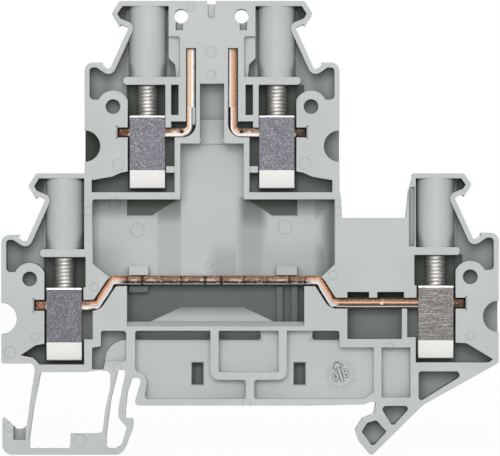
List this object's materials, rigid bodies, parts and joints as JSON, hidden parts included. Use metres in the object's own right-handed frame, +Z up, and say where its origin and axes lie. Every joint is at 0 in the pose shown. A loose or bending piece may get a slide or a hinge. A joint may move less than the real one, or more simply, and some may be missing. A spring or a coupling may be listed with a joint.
{
  "type": "double level terminal block",
  "caption": "Slim grey rail terminal block with two levels of screw clamps, seen from its open side, on a 35 mm rail foot.",
  "frame": {"origin": "on the rail's top face, at the middle of the 35 mm rail and of the block's width", "axes": "+Z up from the rail, +X along the block towards the fixed hook, -Y out of the open side"},
  "size_m": [0.0699, 0.0052, 0.0637],
  "materials": {
    "light_grey_polyamide": "fine satin",
    "tinned_copper": "copper edges with a worn tin layer",
    "zinc_plated_steel": "dull speckled plating",
    "bright_plated_steel": "bright plating"
  },
  "bodies": {
    "block": {"housing": "light_grey_polyamide", "upper_left_bar": "tinned_copper", "upper_right_bar": "tinned_copper", "lower_bar": "tinned_copper"},
    "upper_left_screw": {"upper_left_screw": "bright_plated_steel"},
    "upper_left_sleeve": {"upper_left_sleeve": "zinc_plated_steel"},
    "upper_right_screw": {"upper_right_screw": "bright_plated_steel"},
    "upper_right_sleeve": {"upper_right_sleeve": "zinc_plated_steel"},
    "lower_left_screw": {"lower_left_screw": "bright_plated_steel"},
    "lower_left_sleeve": {"lower_left_sleeve": "zinc_plated_steel"},
    "lower_right_screw": {"lower_right_screw": "bright_plated_steel"},
    "lower_right_sleeve": {"lower_right_sleeve": "zinc_plated_steel"}
  },
  "joints": [
    {"name": "upper_left_screw_turn", "type": "hinge", "parent": "block", "child": "upper_left_screw", "pos_m": [-0.0145, 0, 0.0408], "axis": [0, 0, -1], "range_deg": [0, 2880]},
    {"name": "upper_left_sleeve_lift", "type": "slide", "parent": "block", "child": "upper_left_sleeve", "axis": [0, 0, 1], "range_m": [0, 0.004]},
    {"name": "upper_right_screw_turn", "type": "hinge", "parent": "block", "child": "upper_right_screw", "pos_m": [0.0037, 0, 0.0408], "axis": [0, 0, -1], "range_deg": [0, 2880]},
    {"name": "upper_right_sleeve_lift", "type": "slide", "parent": "block", "child": "upper_right_sleeve", "axis": [0, 0, 1], "range_m": [0, 0.004]},
    {"name": "lower_left_screw_turn", "type": "hinge", "parent": "block", "child": "lower_left_screw", "pos_m": [-0.0262, 0, 0.0166], "axis": [0, 0, -1], "range_deg": [0, 2880]},
    {"name": "lower_left_sleeve_lift", "type": "slide", "parent": "block", "child": "lower_left_sleeve", "axis": [0, 0, 1], "range_m": [0, 0.004]},
    {"name": "lower_right_screw_turn", "type": "hinge", "parent": "block", "child": "lower_right_screw", "pos_m": [0.02605, 0, 0.0169], "axis": [0, 0, -1], "range_deg": [0, 2880]},
    {"name": "lower_right_sleeve_lift", "type": "slide", "parent": "block", "child": "lower_right_sleeve", "axis": [0, 0, 1], "range_m": [0, 0.004]}
  ],
  "couplings": [
    {"joint": "upper_left_screw_turn", "follows": "upper_left_sleeve_lift", "rad_per_m": 12566},
    {"joint": "upper_right_screw_turn", "follows": "upper_right_sleeve_lift", "rad_per_m": 12566},
    {"joint": "lower_left_screw_turn", "follows": "lower_left_sleeve_lift", "rad_per_m": 12566},
    {"joint": "lower_right_screw_turn", "follows": "lower_right_sleeve_lift", "rad_per_m": 12566}
  ]
}
